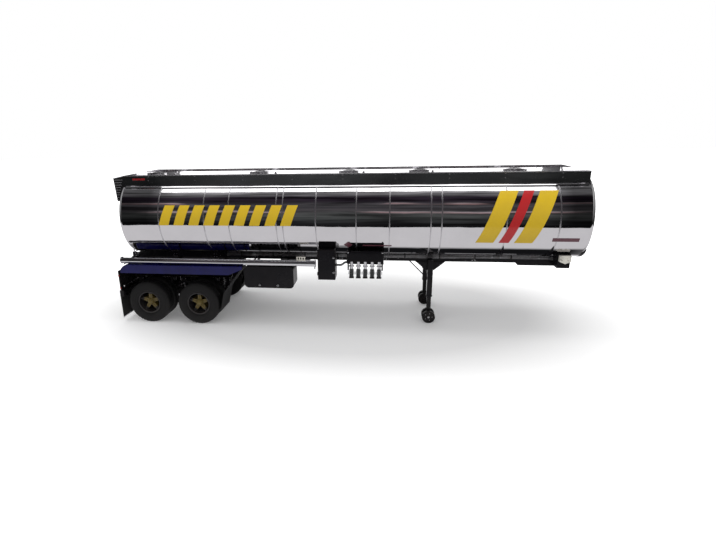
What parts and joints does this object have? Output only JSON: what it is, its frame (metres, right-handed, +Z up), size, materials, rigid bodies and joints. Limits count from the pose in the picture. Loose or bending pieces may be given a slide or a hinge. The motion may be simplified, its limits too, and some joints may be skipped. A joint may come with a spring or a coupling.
{
  "type": "tank semi-trailer",
  "caption": "Road tank semi-trailer with a polished oval barrel, tandem axle, kingpin coupler, landing legs and under-slung valves.",
  "frame": {"origin": "on the floor, under the middle of the trailer's length and width", "axes": "+X forwards to the kingpin end, +Y to the left-hand side, +Z up"},
  "size_m": [10.7098, 2.438, 3.499],
  "materials": {
    "tank_bright": "mirror polished sheet with faint seams",
    "trim_bright": "bright, lightly brushed",
    "frame_black": "gloss black enamel",
    "kingpin_steel": "turned and greased",
    "fender_blue": "gloss navy blue",
    "flap_rubber": "matt moulded sheet",
    "lamp_red": "ribbed lens",
    "tube_chrome": "bright plated",
    "cap_black": "gloss black enamel",
    "tank_grey": "satin grey",
    "box_cream": "gloss off-white",
    "tyre": "tread and sidewall rubber",
    "wheel_yellow": "gloss yellow castings, black rims"
  },
  "bodies": {
    "chassis": {"adapter_caps": "cap_black", "air_tank": "tank_grey", "axle_front": "frame_black", "axle_rear": "frame_black", "barrel": "tank_bright", "coaming_ends": "trim_bright", "coaming_left": "trim_bright", "coaming_right": "trim_bright", "coupler_plate": "frame_black", "crossmembers": "frame_black", "fender_left": "fender_blue", "fender_right": "fender_blue", "frame_rails": "frame_black", "front_apron": "frame_black", "front_bolster": "frame_black", "front_head": "tank_bright", "gladhand_box": "box_cream", "hose_tube": "tube_chrome", "kingpin": "kingpin_steel", "landing_crank": "frame_black", "leaf_springs": "frame_black", "leg_brackets": "frame_black", "leg_cross_shaft": "frame_black", "leg_inner_tubes": "frame_black", "leg_outer_tubes": "frame_black", "loading_adapters": "tube_chrome", "locker": "frame_black", "manhole_collars": "trim_bright", "manifold_guard": "frame_black", "mudflaps": "flap_rubber", "outriggers": "frame_black", "rear_bumper": "frame_black", "rear_head": "tank_bright", "rear_ladder": "trim_bright", "seam_bands": "trim_bright", "splash_guards": "flap_rubber", "spring_hangers": "frame_black", "suspension_subframe": "frame_black", "tail_lamps": "lamp_red", "valve_cabinet": "frame_black", "walkway": "trim_bright"},
    "manhole_lid_1": {"manhole_lid_1": "trim_bright"},
    "manhole_lid_2": {"manhole_lid_2": "trim_bright"},
    "manhole_lid_3": {"manhole_lid_3": "trim_bright"},
    "manhole_lid_4": {"manhole_lid_4": "trim_bright"},
    "manhole_lid_5": {"manhole_lid_5": "trim_bright"},
    "wheels_front_left": {"tyres_front_left": "tyre", "wheel_front_left": "wheel_yellow"},
    "wheels_front_right": {"tyres_front_right": "tyre", "wheel_front_right": "wheel_yellow"},
    "wheels_rear_left": {"tyres_rear_left": "tyre", "wheel_rear_left": "wheel_yellow"},
    "wheels_rear_right": {"tyres_rear_right": "tyre", "wheel_rear_right": "wheel_yellow"},
    "landing_wheels_left": {"landing_wheels_left": "frame_black"},
    "landing_wheels_right": {"landing_wheels_right": "frame_black"},
    "hose_tube_cap": {"hose_tube_cap": "cap_black"},
    "locker_door": {"locker_door": "frame_black"},
    "valve_cabinet_door": {"valve_cabinet_door": "frame_black"}
  },
  "joints": [
    {"name": "manhole_lid_1_hinge", "type": "hinge", "parent": "chassis", "child": "manhole_lid_1", "pos_m": [-4.851, 0, 3.468], "axis": [0, -1, 0], "range_deg": [0, 110]},
    {"name": "manhole_lid_2_hinge", "type": "hinge", "parent": "chassis", "child": "manhole_lid_2", "pos_m": [-2.236, 0, 3.468], "axis": [0, -1, 0], "range_deg": [0, 110]},
    {"name": "manhole_lid_3_hinge", "type": "hinge", "parent": "chassis", "child": "manhole_lid_3", "pos_m": [-0.086, 0, 3.468], "axis": [0, -1, 0], "range_deg": [0, 110]},
    {"name": "manhole_lid_4_hinge", "type": "hinge", "parent": "chassis", "child": "manhole_lid_4", "pos_m": [1.524, 0, 3.468], "axis": [0, -1, 0], "range_deg": [0, 110]},
    {"name": "manhole_lid_5_hinge", "type": "hinge", "parent": "chassis", "child": "manhole_lid_5", "pos_m": [3.594, 0, 3.468], "axis": [0, -1, 0], "range_deg": [0, 110]},
    {"name": "wheels_front_left_roll", "type": "hinge", "parent": "chassis", "child": "wheels_front_left", "pos_m": [-3.38, 0, 0.513], "axis": [0, 1, 0], "continuous": true},
    {"name": "wheels_front_right_roll", "type": "hinge", "parent": "chassis", "child": "wheels_front_right", "pos_m": [-3.38, 0, 0.513], "axis": [0, 1, 0], "continuous": true},
    {"name": "wheels_rear_left_roll", "type": "hinge", "parent": "chassis", "child": "wheels_rear_left", "pos_m": [-4.625, 0, 0.513], "axis": [0, 1, 0], "continuous": true},
    {"name": "wheels_rear_right_roll", "type": "hinge", "parent": "chassis", "child": "wheels_rear_right", "pos_m": [-4.625, 0, 0.513], "axis": [0, 1, 0], "continuous": true},
    {"name": "landing_wheels_left_roll", "type": "hinge", "parent": "chassis", "child": "landing_wheels_left", "pos_m": [2.025, 0, 0.15], "axis": [0, 1, 0], "continuous": true},
    {"name": "landing_wheels_right_roll", "type": "hinge", "parent": "chassis", "child": "landing_wheels_right", "pos_m": [2.025, 0, 0.15], "axis": [0, 1, 0], "continuous": true},
    {"name": "hose_tube_cap_hinge", "type": "hinge", "parent": "chassis", "child": "hose_tube_cap", "pos_m": [-5.239, -1.1, 1.61], "axis": [0, 1, 0], "range_deg": [0, 100]},
    {"name": "locker_door_hinge", "type": "hinge", "parent": "chassis", "child": "locker_door", "pos_m": [-1.645, -1.139, 1.449], "axis": [-1, 0, 0], "range_deg": [0, 95]},
    {"name": "valve_cabinet_door_hinge", "type": "hinge", "parent": "chassis", "child": "valve_cabinet_door", "pos_m": [-0.509, -1.139, 1.51], "axis": [0, 0, -1], "range_deg": [0, 110]}
  ]
}
